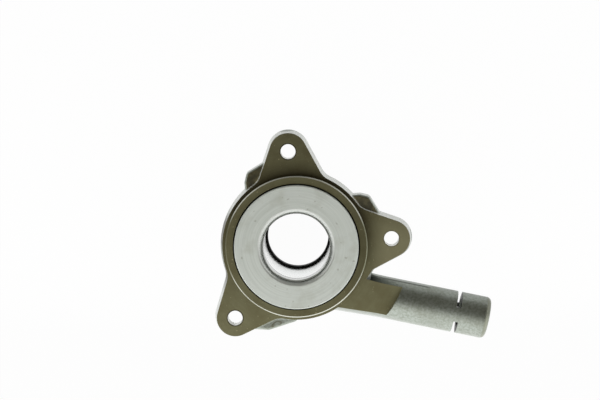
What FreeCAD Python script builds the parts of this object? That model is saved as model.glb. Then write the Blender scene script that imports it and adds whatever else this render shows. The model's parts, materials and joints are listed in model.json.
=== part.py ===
import FreeCAD, Part
import math
import os

import Sketcher
from FreeCAD import Placement, Rotation, Vector

# Concentric clutch slave cylinder, in millimetres.
# Z = 0 is the machined mounting plane of the three ears, and +Z points at the gearbox.
# The release axis is the Z axis, and the bearing end is at the bottom.
# Every z size is a height over the mounting plane, and every depth is counted down from it.

SIZES = {
    # Mounting flange and its ears
    "flange_land": 1.4,
    "flange_thick": 7.0,
    "flange_draft": 1.05,
    "ear_circle_radius": 41.3,
    "ear_tip_radius": 8.05,
    "ear_half_angle": 23.5,
    "ear_root_radius": 8.0,
    "ear_hole_radius": 3.25,
    "right_ear_angle": 4.8,
    "top_ear_angle": 95.1,
    "low_ear_angle": 229.8,
    # Raw cast lobes beside the ears
    "lobe_drop": 2.2,
    "lobe_thick": 6.6,
    "lobe_start": 7.0,
    "lobe_near_step": 6.0,
    "lobe_corner_stand": 9.98,
    "lobe_corner_angle": 29.5,
    "lobe_far_stand": 7.27,
    "lobe_far_angle": 34.5,
    "low_lobe_corner_stand": 10.75,
    "low_lobe_corner_angle": 22.4,
    "low_lobe_far_stand": 4.97,
    "low_lobe_far_angle": 39.9,
    "lobe_corner_round": 2.6,
    "lobe_edge_round": 1.1,
    # Pilot ring and the seat of the sleeve's flange
    "pilot_wall": 3.45,
    "pilot_height": 3.0,
    "pilot_chamfer": 0.45,
    "seat_gap": 0.45,
    "seat_height": 0.4,
    # Hydraulic cylinder
    "piston_width": 6.2,
    "cylinder_wall": 2.3,
    "cylinder_lead": 0.5,
    "cylinder_chamfer": 0.6,
    "boss_under_port": 0.15,
    "boss_step": 0.2,
    "collar_wall": 1.6,
    "collar_height": 3.4,
    "spring_pocket_gap": 0.35,
    "boot_groove_lead": 0.7,
    "boot_groove_width": 1.8,
    "boot_groove_depth": 0.8,
    # Hydraulic port
    "port_angle": 11.45,
    "port_offset": 15.0,
    "port_depth": 6.2,
    "port_reach": 88.2,
    "port_radius": 9.1,
    "port_root_radius": 9.85,
    "port_root_reach": 20.0,
    "port_taper_reach": 40.0,
    "port_end_round": 2.2,
    "port_bore_radius": 6.0,
    "port_bore_depth": 25.0,
    "port_mouth_chamfer": 0.7,
    "port_drill_radius": 2.2,
    "port_cone_angle": 59.0,
    "web_width": 13.0,
    "web_foot_inset": 2.55,
    "web_tip_stand": 2.73,
    "facing_radius": 49.3,
    "facing_height": 12.0,
    "clip_slot_width": 2.0,
    "clip_slot_setback": 14.0,
    "clip_slot_floor": 3.2,
    "clip_slot_overrun": 3.0,
    # Steel flange and guide sleeve
    "seat_width": 5.4,
    "sleeve_flange_thick": 4.1,
    "sleeve_rim_chamfer": 0.35,
    "sleeve_lip_round": 1.6,
    "spigot_depth": 3.0,
    "spigot_gap": 0.08,
    "o_ring_radius": 0.88,
    "o_ring_groove_width": 2.1,
    "o_ring_land": 0.5,
    "sleeve_radius": 15.3,
    "sleeve_wall": 0.8,
    "sleeve_fit": 0.03,
    "sleeve_top": 2.3,
    "sleeve_tail": 4.0,
    "sleeve_chamfer": 0.25,
    # Stop ring on the sleeve
    "stop_ring_thick": 1.2,
    "stop_ring_stand": 0.8,
    "stop_groove_depth": 0.35,
    "stop_groove_play": 0.1,
    "stop_ring_angle": 340.0,
    # Rubber end seal of the sleeve
    "end_seal_wall": 0.9,
    "end_seal_seat": 0.3,
    "end_seal_lead": 0.3,
    "end_seal_length": 3.0,
    "end_seal_rim": 1.1,
    "end_seal_round": 0.35,
    # Piston and its seal
    "stroke": 14.0,
    "running_gap": 0.06,
    "port_clear": 0.2,
    "piston_gap": 0.1,
    "piston_stop_gap": 0.25,
    "piston_web": 2.05,
    "stop_ring_clear": 1.2,
    "piston_seat_length": 6.0,
    "piston_seat_gap": 0.05,
    "piston_edge_round": 0.5,
    "plate_gap": 0.6,
    "guide_ring_lead": 0.9,
    "guide_ring_height": 2.0,
    "guide_ring_thick": 1.0,
    "guide_ring_angle": 352.0,
    "wiper_lead": 3.8,
    "wiper_height": 1.8,
    "wiper_thick": 1.4,
    "wiper_lip_width": 0.7,
    "wiper_lip_height": 0.6,
    "support_thick": 0.6,
    "support_rib_width": 1.2,
    "support_rib_height": 0.9,
    "seal_height": 3.4,
    "seal_base": 1.7,
    "seal_lip": 1.15,
    "seal_lip_root": 1.5,
    "rib_fit": 0.05,
    # Spring plate and the bearing's retainer
    "plate_thick": 1.2,
    "plate_rim_gap": 0.15,
    "plate_rim_height": 2.6,
    "plate_rim_wall": 0.8,
    "plate_bore_gap": 0.1,
    "retainer_step": 0.15,
    "retainer_wall": 0.9,
    "retainer_lead": 0.4,
    "retainer_flange_width": 3.25,
    "retainer_flange_thick": 0.8,
    "retainer_round": 0.45,
    # Self-centring bearing
    "centring_travel": 0.7,
    "centring_play": 1.3,
    "ring_flange_thick": 1.4,
    "wave_space": 0.8,
    "wave_thick": 0.4,
    "wave_gap": 0.03,
    "wave_width": 2.0,
    "wave_count": 3,
    "rear_seal_gap": 0.5,
    "seal_disc_thick": 0.7,
    "seal_disc_gap": 0.3,
    "ball_radius": 2.5,
    "ball_gap": 0.04,
    "ball_top_gap": 0.4,
    "ball_count": 16,
    "shoulder_height": 0.85,
    "fixed_ring_wall": 1.5,
    "fixed_ring_front": 5.4,
    "fixed_edge_round": 0.9,
    "contact_wall": 1.8,
    "contact_top_gap": 0.7,
    "contact_rim_gap": 0.6,
    "contact_flange_thick": 2.5,
    "contact_flange_gap": 0.4,
    "contact_nose_round": 1.4,
    "contact_bore_round": 0.8,
    "cage_gap": 0.4,
    "cage_rise": 1.7,
    "cage_drop": 3.2,
    "cage_pocket_gap": 0.1,
    # Preload spring
    "spring_wire_radius": 1.1,
    "spring_gap": 0.25,
    "spring_turns": 4.5,
    "spring_end_gap": 0.05,
    # Dust boot and its clamp
    "boot_wall": 0.8,
    "boot_spring_gap": 0.3,
    "boot_fold_height": 2.45,
    "boot_folds": 3,
    "boot_bead_wall": 0.95,
    "boot_fit": 0.05,
    "clamp_wall": 0.55,
    "clamp_height": 1.2,
}

# How near an edge lies to the place it is looked for at.
NEAR = 0.01
POINTS_PER_WAVE = 8
ARCS_PER_SECTION = 4


class Size:
    """A size that is a number now and an expression of the sheet's cells afterwards."""

    def __init__(self, value, text):
        self.value = float(value)
        self.text = text

    def __add__(self, other):
        other = as_size(other)
        return Size(self.value + other.value, f"({self.text} + {other.text})")

    def __sub__(self, other):
        other = as_size(other)
        return Size(self.value - other.value, f"({self.text} - {other.text})")

    def __mul__(self, other):
        other = as_size(other)
        return Size(self.value * other.value, f"({self.text} * {other.text})")

    def __truediv__(self, other):
        other = as_size(other)
        return Size(self.value / other.value, f"({self.text} / {other.text})")

    def __neg__(self):
        return Size(-self.value, f"(-1 * {self.text})")

    def sin(self):
        return Size(math.sin(math.radians(self.value)), f"sin({self.text} * 1 deg)")

    def cos(self):
        return Size(math.cos(math.radians(self.value)), f"cos({self.text} * 1 deg)")


def as_size(number):
    if isinstance(number, Size):
        return number
    return Size(number, repr(float(number)))


class Names:
    """The sheet's sizes by name."""


doc = FreeCAD.newDocument("clutch_slave_cylinder")
dim = Names()
parts = []


def fill_sheet():
    sheet = doc.addObject("Spreadsheet::Sheet", "Sizes")
    for row, (name, value) in enumerate(SIZES.items(), start=1):
        sheet.set(f"A{row}", name)
        sheet.set(f"B{row}", str(value))
        sheet.setAlias(f"B{row}", name)
        setattr(dim, name, Size(value, f"Sizes.{name}"))
    doc.recompute()


def derive_radii():
    """Radii that follow from the driving ones, worked outwards from the guide sleeve."""
    dim.cylinder_radius = dim.sleeve_radius + dim.piston_width
    dim.sleeve_flange_radius = dim.cylinder_radius + dim.seat_width
    dim.pilot_radius = dim.sleeve_flange_radius + dim.seat_gap + dim.pilot_wall
    dim.flange_radius = dim.pilot_radius + dim.flange_land
    dim.cylinder_outer = dim.cylinder_radius + dim.cylinder_wall
    dim.spring_radius = dim.cylinder_outer + dim.spring_gap + dim.spring_wire_radius
    dim.spring_outer = dim.spring_radius + dim.spring_wire_radius
    dim.spring_pocket = dim.spring_outer + dim.spring_pocket_gap
    dim.collar_radius = dim.spring_pocket + dim.collar_wall
    dim.boss_radius = dim.collar_radius + dim.boss_step
    dim.plate_rim_radius = dim.spring_outer + dim.plate_rim_gap + dim.plate_rim_wall
    dim.boot_valley = dim.spring_outer + dim.boot_spring_gap
    dim.boot_peak = dim.boot_valley + dim.boot_fold_height
    dim.sleeve_bore = dim.sleeve_radius - dim.sleeve_wall
    dim.seal_seat_radius = dim.sleeve_bore + dim.end_seal_seat
    dim.end_seal_radius = dim.sleeve_bore - dim.end_seal_wall
    dim.stop_ring_radius = dim.sleeve_radius + dim.stop_ring_stand
    dim.piston_clear_radius = dim.stop_ring_radius + dim.stop_ring_clear
    dim.support_rib_inner = (dim.sleeve_radius + dim.cylinder_radius - dim.support_rib_width) / 2
    dim.support_rib_outer = dim.support_rib_inner + dim.support_rib_width
    dim.retainer_inner = dim.piston_clear_radius + dim.retainer_step
    dim.retainer_radius = dim.retainer_inner + dim.retainer_wall
    dim.retainer_flange_radius = dim.retainer_radius + dim.retainer_flange_width
    dim.wave_inner = dim.retainer_radius + dim.centring_travel + dim.seal_disc_gap
    dim.wave_outer = dim.wave_inner + dim.wave_width
    dim.contact_bore = dim.stop_ring_radius + dim.centring_play
    dim.contact_land_radius = dim.contact_bore + dim.contact_wall
    dim.ball_circle = dim.contact_land_radius + dim.ball_gap + dim.ball_radius
    dim.contact_neck_radius = dim.ball_circle - dim.ball_radius + dim.shoulder_height
    dim.fixed_shoulder_radius = dim.ball_circle + dim.ball_radius - dim.shoulder_height
    dim.fixed_front_radius = dim.ball_circle + dim.ball_radius + dim.ball_gap
    dim.fixed_ring_radius = dim.fixed_front_radius + dim.fixed_ring_wall
    dim.contact_flange_radius = dim.fixed_front_radius - dim.contact_rim_gap
    dim.cage_inner = dim.contact_neck_radius + dim.cage_gap
    dim.cage_outer = dim.fixed_shoulder_radius - dim.cage_gap


def derive_depths():
    """Depths under the mounting plane that follow from the driving sizes, with the piston out."""
    dim.boss_depth = dim.port_depth + dim.port_root_radius + dim.boss_under_port
    dim.collar_end = dim.boss_depth + dim.collar_height
    dim.boot_groove_top = dim.boss_depth + dim.boot_groove_lead
    dim.piston_in_top = dim.port_depth + dim.port_drill_radius + dim.port_clear
    dim.seal_stack = dim.seal_height + dim.support_thick
    dim.piston_top = dim.piston_in_top + dim.seal_stack + dim.stroke
    dim.guide_ring_top = dim.piston_top + dim.guide_ring_lead
    dim.cylinder_end = dim.guide_ring_top + dim.guide_ring_height + dim.cylinder_lead
    dim.wiper_top = dim.piston_top + dim.wiper_lead
    dim.stop_shoulder = dim.wiper_top + dim.wiper_height + dim.piston_web
    dim.stop_ring_depth = dim.stop_shoulder + dim.piston_stop_gap
    dim.sleeve_end = dim.stop_ring_depth + dim.sleeve_tail
    dim.end_seal_depth = dim.sleeve_end - dim.end_seal_length
    dim.plate_top = dim.cylinder_end + dim.stroke + dim.plate_gap
    dim.plate_end = dim.plate_top + dim.plate_thick
    dim.piston_seat_top = dim.plate_top - dim.piston_seat_length
    dim.retainer_top = dim.piston_seat_top + dim.retainer_lead
    dim.ring_flange_end = dim.plate_end + dim.ring_flange_thick
    dim.retainer_flange_top = dim.ring_flange_end + dim.wave_space
    dim.retainer_end = dim.retainer_flange_top + dim.retainer_flange_thick
    dim.rear_seal_top = dim.retainer_end + dim.rear_seal_gap
    dim.contact_top = dim.retainer_end + dim.contact_top_gap
    dim.ball_depth = dim.rear_seal_top + dim.seal_disc_thick + dim.ball_top_gap + dim.ball_radius
    dim.front_seal_top = dim.ball_depth + dim.cage_drop + dim.seal_disc_gap
    dim.contact_flange_top = dim.front_seal_top + dim.seal_disc_thick + dim.contact_flange_gap
    dim.contact_face = dim.contact_flange_top + dim.contact_flange_thick


def new_body(name):
    body = doc.addObject("PartDesign::Body", name)
    body.Label = name
    parts.append(body)
    return body


def new_sketch(body, name, plane, base=None, turn=None):
    """A sketch on one of the body's origin planes, moved by base and turned about the normal."""
    sketch = body.newObject("Sketcher::SketchObject", name)
    support = [f for f in body.Origin.OriginFeatures if f.Role == plane][0]
    sketch.AttachmentSupport = [(support, "")]
    sketch.MapMode = "FlatFace"
    base = [as_size(v) for v in (base or (0, 0, 0))]
    turn = as_size(turn or 0)
    place = Vector(*[v.value for v in base])
    sketch.AttachmentOffset = Placement(place, Rotation(Vector(0, 0, 1), turn.value))
    for axis, value in zip("xyz", base):
        if "Sizes" in value.text:
            sketch.setExpression(f"AttachmentOffset.Base.{axis}", value.text)
    if "Sizes" in turn.text:
        sketch.setExpression("AttachmentOffset.Rotation.Angle", turn.text)
    return sketch


def bind(sketch, kind, places, size):
    """Adds a constraint whose value follows the sheet."""
    index = sketch.addConstraint(Sketcher.Constraint(kind, *places, size.value))
    if "Sizes" in size.text:
        sketch.setExpression(f"Constraints[{index}]", size.text)


def draw_outline(sketch, points):
    """A closed outline of straight lines whose corners are tied to the sheet."""
    points = [(as_size(x), as_size(y)) for x, y in points]
    first = sketch.GeometryCount
    count = len(points)
    corners = [Vector(x.value, y.value, 0) for x, y in points]
    for i in range(count):
        sketch.addGeometry(Part.LineSegment(corners[i], corners[(i + 1) % count]), False)
    for i in range(count):
        after = first + (i + 1) % count
        sketch.addConstraint(Sketcher.Constraint("Coincident", first + i, 2, after, 1))
    for i, (x, y) in enumerate(points):
        bind(sketch, "DistanceX", (-1, 1, first + i, 1), x)
        bind(sketch, "DistanceY", (-1, 1, first + i, 1), y)


def draw_circle(sketch, x, y, radius):
    """A circle whose centre and radius are tied to the sheet."""
    x, y, radius = as_size(x), as_size(y), as_size(radius)
    circle = Part.Circle(Vector(x.value, y.value, 0), Vector(0, 0, 1), radius.value)
    index = sketch.addGeometry(circle, False)
    bind(sketch, "DistanceX", (-1, 1, index, 3), x)
    bind(sketch, "DistanceY", (-1, 1, index, 3), y)
    bind(sketch, "Radius", (index,), radius)


def turn_feature(body, kind, name, sketch, axis="V_Axis", angle=None):
    """A revolution or groove of the sketch about one of its own axes."""
    feature = body.newObject(f"PartDesign::{kind}", name)
    feature.Profile = sketch
    feature.ReferenceAxis = (sketch, [axis])
    feature.Angle = 360
    if angle is not None:
        feature.setExpression("Angle", angle.text)
    sketch.Visibility = False
    doc.recompute()
    return feature


def turned(body, kind, name, points, angle=None):
    """A revolution or groove about Z from corners given as radius and height."""
    sketch = new_sketch(body, name + "_profile", "XZ_Plane")
    draw_outline(sketch, points)
    return turn_feature(body, kind, name, sketch, angle=angle)


def padded(body, name, sketch, length):
    """A pad of the sketch away from the gearbox, with its length tied to the sheet."""
    feature = body.newObject("PartDesign::Pad", name)
    feature.Profile = sketch
    feature.Length = length.value
    feature.setExpression("Length", length.text)
    feature.Reversed = True
    sketch.Visibility = False
    doc.recompute()


def cut_through(body, name, sketch, both_ways=True):
    """A pocket of the sketch through the whole body, along its normal or both ways."""
    feature = body.newObject("PartDesign::Pocket", name)
    feature.Profile = sketch
    feature.Type = "ThroughAll"
    feature.Midplane = both_ways
    feature.Reversed = True
    sketch.Visibility = False
    doc.recompute()
    return feature


def ring_edges(feature, places):
    """Names of the round edges about Z at each given radius and height."""
    found = []
    for index, edge in enumerate(feature.Shape.Edges, start=1):
        if not isinstance(edge.Curve, Part.Circle):
            continue
        for radius, height in places:
            near_radius = abs(edge.Curve.Radius - radius.value) < NEAR
            if near_radius and abs(edge.Curve.Center.z - height.value) < NEAR:
                found.append(f"Edge{index}")
    return found


def dress(body, kind, name, edges, size):
    """A fillet or chamfer of the named edges of the body's last feature."""
    base = body.Tip
    feature = body.newObject(f"PartDesign::{kind}", name)
    feature.Base = (base, edges)
    label = "Radius" if kind == "Fillet" else "Size"
    setattr(feature, label, size.value)
    feature.setExpression(label, size.text)
    doc.recompute()
    return feature


def dress_rings(body, kind, name, places, size):
    dress(body, kind, name, ring_edges(body.Tip, places), size)


def tangent_ear(sketch, growth):
    """An ear along the sketch's X axis, blended into the round flange by two root arcs."""
    tip_size = dim.ear_tip_radius + growth
    flange_size = dim.flange_radius + growth
    root_size = dim.ear_root_radius - growth
    reach, tip = dim.ear_circle_radius.value, tip_size.value
    flange, root = flange_size.value, root_size.value
    lean = math.radians(dim.ear_half_angle.value)
    out = Vector(math.sin(lean), math.cos(lean), 0)
    along = Vector(-math.cos(lean), math.sin(lean), 0)
    offset = reach * math.sin(lean) + tip
    slide = -math.sqrt((flange + root) ** 2 - (offset + root) ** 2)
    centre = out * (offset + root) + along * slide
    flank_foot = centre - out * root
    flange_foot = centre * (flange / (flange + root))
    flank_top = Vector(reach, 0, 0) + out * tip
    normal = Vector(0, 0, 1)

    def flip(point):
        return Vector(point.x, -point.y, 0)

    def angle(point, middle):
        return math.atan2(point.y - middle.y, point.x - middle.x)

    tip_middle = Vector(reach, 0, 0)
    tip_arc = Part.ArcOfCircle(
        Part.Circle(tip_middle, normal, tip),
        angle(flip(flank_top), tip_middle),
        angle(flank_top, tip_middle),
    )
    upper_root = Part.ArcOfCircle(
        Part.Circle(centre, normal, root),
        angle(flange_foot, centre),
        angle(flank_foot, centre),
    )
    lower_root = Part.ArcOfCircle(
        Part.Circle(flip(centre), normal, root),
        angle(flip(flank_foot), flip(centre)),
        angle(flip(flange_foot), flip(centre)),
    )
    upper_flank = Part.LineSegment(flank_top, flank_foot)
    lower_flank = Part.LineSegment(flip(flank_foot), flip(flank_top))
    chord = Part.LineSegment(flange_foot, flip(flange_foot))
    shapes = [tip_arc, upper_flank, upper_root, chord, lower_root, lower_flank]
    tip_id, flank_id, root_id, chord_id, root_two, flank_two = sketch.addGeometry(shapes, False)
    edge_circle = Part.Circle(Vector(0, 0, 0), normal, flange)
    edge_id = sketch.addGeometry(edge_circle, True)

    def tie(kind, *places):
        return sketch.addConstraint(Sketcher.Constraint(kind, *places))

    tie("Coincident", edge_id, 3, -1, 1)
    tie("PointOnObject", tip_id, 3, -1)
    tie("Tangent", tip_id, 2, flank_id, 1)
    tie("Tangent", flank_id, 2, root_id, 2)
    tie("Coincident", root_id, 1, chord_id, 1)
    tie("Coincident", chord_id, 2, root_two, 2)
    tie("Tangent", root_two, 1, flank_two, 1)
    tie("Tangent", flank_two, 2, tip_id, 1)
    tie("Tangent", root_id, 1, edge_id)
    tie("Tangent", root_two, 2, edge_id)
    tie("Equal", root_id, root_two)
    tie("Vertical", chord_id)
    bind(sketch, "DistanceX", (-1, 1, tip_id, 3), dim.ear_circle_radius)
    bind(sketch, "Radius", (tip_id,), tip_size)
    bind(sketch, "Radius", (edge_id,), flange_size)
    bind(sketch, "Radius", (root_id,), root_size)
    index = tie("Angle", flank_id, math.pi - lean)
    sketch.setExpression(f"Constraints[{index}]", f"180 - {dim.ear_half_angle.text}")


def outside_edges(feature, height, inner_radius):
    """Names of the edges that lie at one height, outside a radius."""
    found = []
    for index, edge in enumerate(feature.Shape.Edges, start=1):
        box = edge.BoundBox
        flat = abs(box.ZMin - height) < NEAR and abs(box.ZMax - height) < NEAR
        middle = edge.valueAt(0.5 * (edge.FirstParameter + edge.LastParameter))
        if flat and math.hypot(middle.x, middle.y) > inner_radius + NEAR:
            found.append(f"Edge{index}")
    return found


def upright_edges(feature, places):
    """Names of the upright edges that stand at the given points."""
    found = []
    for index, edge in enumerate(feature.Shape.Edges, start=1):
        middle = edge.valueAt(0.5 * (edge.FirstParameter + edge.LastParameter))
        if edge.BoundBox.ZLength < NEAR:
            continue
        for place in places:
            if math.hypot(middle.x - place.x, middle.y - place.y) < NEAR:
                found.append(f"Edge{index}")
    return found


def lobe_corner(stand, angle):
    """A corner that stands out of the boss, at an angle round from the ear."""
    radius = dim.boss_radius + stand
    return radius * angle.cos(), radius * angle.sin()


def add_lobe(body, name, angle, corner, far):
    """A raw cast lobe beside an ear, a little under the machined plane."""
    sketch = new_sketch(body, name + "_outline", "XY_Plane", (0, 0, -dim.lobe_drop), angle)
    inner = dim.cylinder_radius
    points = [
        (inner, dim.lobe_start),
        (corner[0] + dim.lobe_near_step, dim.lobe_start),
        corner,
        far,
        (inner, far[1]),
    ]
    draw_outline(sketch, points)
    padded(body, name, sketch, dim.lobe_thick)
    spin = Rotation(Vector(0, 0, 1), angle.value)
    places = [spin.multVec(Vector(x.value, y.value, 0)) for x, y in (corner, far)]
    edges = upright_edges(body.Tip, places)
    dress(body, "Fillet", name + "_corners", edges, dim.lobe_corner_round)


def add_ear(body, name, angle):
    """A screw ear whose walls lean out by the casting draft, away from the mounting plane."""
    front = new_sketch(body, name + "_front", "XY_Plane", turn=angle)
    tangent_ear(front, as_size(0))
    back = new_sketch(body, name + "_back", "XY_Plane", (0, 0, -dim.flange_thick), angle)
    tangent_ear(back, dim.flange_draft)
    ear = body.newObject("PartDesign::AdditiveLoft", name)
    ear.Profile = front
    ear.Sections = [back]
    ear.Ruled = True
    front.Visibility = False
    back.Visibility = False
    doc.recompute()


def housing():
    """The die-cast housing: cylinder, flange, ears, lobes, pilot ring and port."""
    body = new_body("housing")
    turned(body, "Revolution", "hub", [
        (0, 0),
        (dim.boss_radius, 0),
        (dim.boss_radius, -dim.boss_depth),
        (dim.collar_radius, -dim.boss_depth),
        (dim.collar_radius, -dim.collar_end),
        (dim.cylinder_outer, -dim.collar_end),
        (dim.cylinder_outer, -dim.cylinder_end),
        (0, -dim.cylinder_end),
    ])
    ears = {
        "right": dim.right_ear_angle,
        "top": dim.top_ear_angle,
        "low": dim.low_ear_angle,
    }
    corner = lobe_corner(dim.lobe_corner_stand, dim.lobe_corner_angle)
    far = lobe_corner(dim.lobe_far_stand, dim.lobe_far_angle)
    low_corner = lobe_corner(dim.low_lobe_corner_stand, dim.low_lobe_corner_angle)
    low_far = lobe_corner(dim.low_lobe_far_stand, dim.low_lobe_far_angle)
    add_lobe(body, "right_lobe", ears["right"], corner, far)
    add_lobe(body, "top_lobe", ears["top"], corner, far)
    add_lobe(body, "low_lobe", ears["low"], low_corner, low_far)
    edges = outside_edges(body.Tip, -dim.lobe_drop.value, dim.boss_radius.value)
    dress(body, "Fillet", "lobe_edges", edges, dim.lobe_edge_round)

    turned(body, "Revolution", "flange", [
        (0, 0),
        (dim.flange_radius, 0),
        (dim.flange_radius + dim.flange_draft, -dim.flange_thick),
        (0, -dim.flange_thick),
    ])
    for name, angle in ears.items():
        add_ear(body, name + "_ear", angle)

    add_port_web(body)
    add_port(body)
    turned(body, "Revolution", "pilot_ring", [
        (dim.cylinder_radius, 0),
        (dim.pilot_radius, 0),
        (dim.pilot_radius, dim.pilot_height - dim.pilot_chamfer),
        (dim.pilot_radius - dim.pilot_chamfer, dim.pilot_height),
        (dim.cylinder_radius, dim.pilot_height),
    ])
    cut_bores(body)
    for name, angle in ears.items():
        sketch = new_sketch(body, name + "_hole_circle", "XY_Plane", turn=angle)
        draw_circle(sketch, dim.ear_circle_radius, 0, dim.ear_hole_radius)
        cut_through(body, name + "_hole", sketch)
    cut_port(body)


def port_frame(body, name, depth=None):
    """A sketch in the port's own frame: X runs out along its axis, Y across it."""
    base = (
        -(dim.port_offset * dim.port_angle.sin()),
        -(dim.port_offset * dim.port_angle.cos()),
        -(dim.port_depth if depth is None else as_size(depth)),
    )
    return new_sketch(body, name, "XY_Plane", base, -dim.port_angle)


def add_port_web(body):
    """The drafted web that fills the corner between the right ear and the port."""
    sketch = port_frame(body, "port_web_outline", 0)
    draw_outline(sketch, [
        (dim.port_root_reach, 0),
        (dim.flange_radius - dim.web_foot_inset, 0),
        (dim.flange_radius + dim.web_tip_stand, dim.web_width),
        (dim.port_root_reach, dim.web_width),
    ])
    padded(body, "port_web", sketch, dim.flange_thick)
    slope = f"atan({dim.flange_draft.text} / {dim.flange_thick.text})"
    body.Tip.setExpression("TaperAngle", slope)
    doc.recompute()


def add_port(body):
    """The port tube, faced off flush with the ears as far as the facing cutter swept."""
    sketch = port_frame(body, "port_profile")
    draw_outline(sketch, [
        (0, 0),
        (dim.port_reach, 0),
        (dim.port_reach, dim.port_radius),
        (dim.port_taper_reach, dim.port_radius),
        (dim.port_root_reach, dim.port_root_radius),
        (0, dim.port_root_radius),
    ])
    turn_feature(body, "Revolution", "port_tube", sketch, "H_Axis")
    edges = port_ring_edges(body.Tip, dim.port_reach.value, dim.port_radius.value)
    dress(body, "Fillet", "port_end_round", edges, dim.port_end_round)
    turned(body, "Groove", "facing", [
        (0, 0),
        (dim.facing_radius, 0),
        (dim.facing_radius, dim.facing_height),
        (0, dim.facing_height),
    ])


def port_ring_edges(feature, reach, radius):
    """Names of the round edges about the port's axis at one distance along it."""
    lean = math.radians(dim.port_angle.value)
    along = Vector(math.cos(lean), -math.sin(lean), 0)
    offset = dim.port_offset.value
    foot = Vector(-offset * math.sin(lean), -offset * math.cos(lean), -dim.port_depth.value)
    centre = foot + along * reach
    found = []
    for index, edge in enumerate(feature.Shape.Edges, start=1):
        if not isinstance(edge.Curve, Part.Circle):
            continue
        near = (edge.Curve.Center - centre).Length < NEAR
        if near and abs(edge.Curve.Radius - radius) < NEAR:
            found.append(f"Edge{index}")
    return found


def cut_bores(body):
    """The cylinder bore with the sleeve flange's seat, the spring's pocket and the boot groove."""
    seat = dim.sleeve_flange_radius + dim.seat_gap
    top = dim.pilot_height + dim.pilot_chamfer
    turned(body, "Groove", "bore", [
        (0, top),
        (seat, top),
        (seat, dim.seat_height),
        (dim.cylinder_radius, dim.seat_height),
        (dim.cylinder_radius, -dim.cylinder_end + dim.cylinder_chamfer),
        (dim.cylinder_radius + dim.cylinder_chamfer, -dim.cylinder_end),
        (0, -dim.cylinder_end),
    ])
    turned(body, "Groove", "spring_pocket", [
        (dim.cylinder_outer, -dim.boss_depth),
        (dim.spring_pocket, -dim.boss_depth),
        (dim.spring_pocket, -dim.cylinder_end),
        (dim.cylinder_outer, -dim.cylinder_end),
    ])
    groove = dim.collar_radius - dim.boot_groove_depth
    turned(body, "Groove", "boot_groove", [
        (groove, -dim.boot_groove_top),
        (dim.boss_radius, -dim.boot_groove_top),
        (dim.boss_radius, -(dim.boot_groove_top + dim.boot_groove_width)),
        (groove, -(dim.boot_groove_top + dim.boot_groove_width)),
    ])


def cut_port(body):
    """The bore for the line's plug, its feed drilling and the two slots for a wire clip."""
    sketch = port_frame(body, "port_bore_profile")
    bore_end = dim.port_reach - dim.port_bore_depth
    step = dim.port_bore_radius - dim.port_drill_radius
    cone = step * dim.port_cone_angle.cos() / dim.port_cone_angle.sin()
    draw_outline(sketch, [
        (0, 0),
        (dim.port_reach, 0),
        (dim.port_reach, dim.port_bore_radius + dim.port_mouth_chamfer),
        (dim.port_reach - dim.port_mouth_chamfer, dim.port_bore_radius),
        (bore_end, dim.port_bore_radius),
        (bore_end - cone, dim.port_drill_radius),
        (0, dim.port_drill_radius),
    ])
    turn_feature(body, "Groove", "port_bore", sketch, "H_Axis")
    slots = port_frame(body, "clip_slot_outline")
    middle = dim.port_reach - dim.clip_slot_setback
    near = middle - dim.clip_slot_width / 2
    away = middle + dim.clip_slot_width / 2
    edge = dim.port_radius + dim.clip_slot_overrun
    for side in (1, -1):
        draw_outline(slots, [
            (near, dim.clip_slot_floor * side),
            (away, dim.clip_slot_floor * side),
            (away, edge * side),
            (near, edge * side),
        ])
    cut_through(body, "clip_slots", slots)


def ring(name, points, angle=None):
    """A turned sub-part from its half section, given as radius and height."""
    body = new_body(name)
    turned(body, "Revolution", name + "_turned", points, angle)
    return body


def sleeve_flange():
    """The turned steel flange that closes the cylinder and carries the guide sleeve."""
    spigot = dim.cylinder_radius - dim.spigot_gap
    top = dim.seat_height + dim.sleeve_flange_thick
    bore = dim.sleeve_radius + dim.sleeve_fit
    groove_foot = o_ring_centre() - dim.o_ring_radius - dim.sleeve_fit
    groove_end = -dim.spigot_depth + dim.o_ring_land
    body = ring("sleeve_flange", [
        (bore, top),
        (dim.sleeve_flange_radius, top),
        (dim.sleeve_flange_radius, dim.seat_height),
        (spigot, dim.seat_height),
        (spigot, groove_end + dim.o_ring_groove_width),
        (groove_foot, groove_end + dim.o_ring_groove_width),
        (groove_foot, groove_end),
        (spigot, groove_end),
        (spigot, -dim.spigot_depth),
        (bore, -dim.spigot_depth),
    ])
    dress_rings(body, "Fillet", "lip", [(bore, top)], dim.sleeve_lip_round)
    rim = [(dim.sleeve_flange_radius, top)]
    dress_rings(body, "Chamfer", "rim_chamfer", rim, dim.sleeve_rim_chamfer)


def o_ring_centre():
    return dim.cylinder_radius - dim.sleeve_fit - dim.o_ring_radius


def sleeve_o_ring():
    """The O-ring in the flange's spigot, which seals it in the cylinder."""
    body = new_body("sleeve_o_ring")
    sketch = new_sketch(body, "o_ring_section", "XZ_Plane")
    height = -dim.spigot_depth + dim.o_ring_land + dim.o_ring_groove_width / 2
    draw_circle(sketch, o_ring_centre(), height, dim.o_ring_radius)
    turn_feature(body, "Revolution", "o_ring_turned", sketch)


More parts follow.
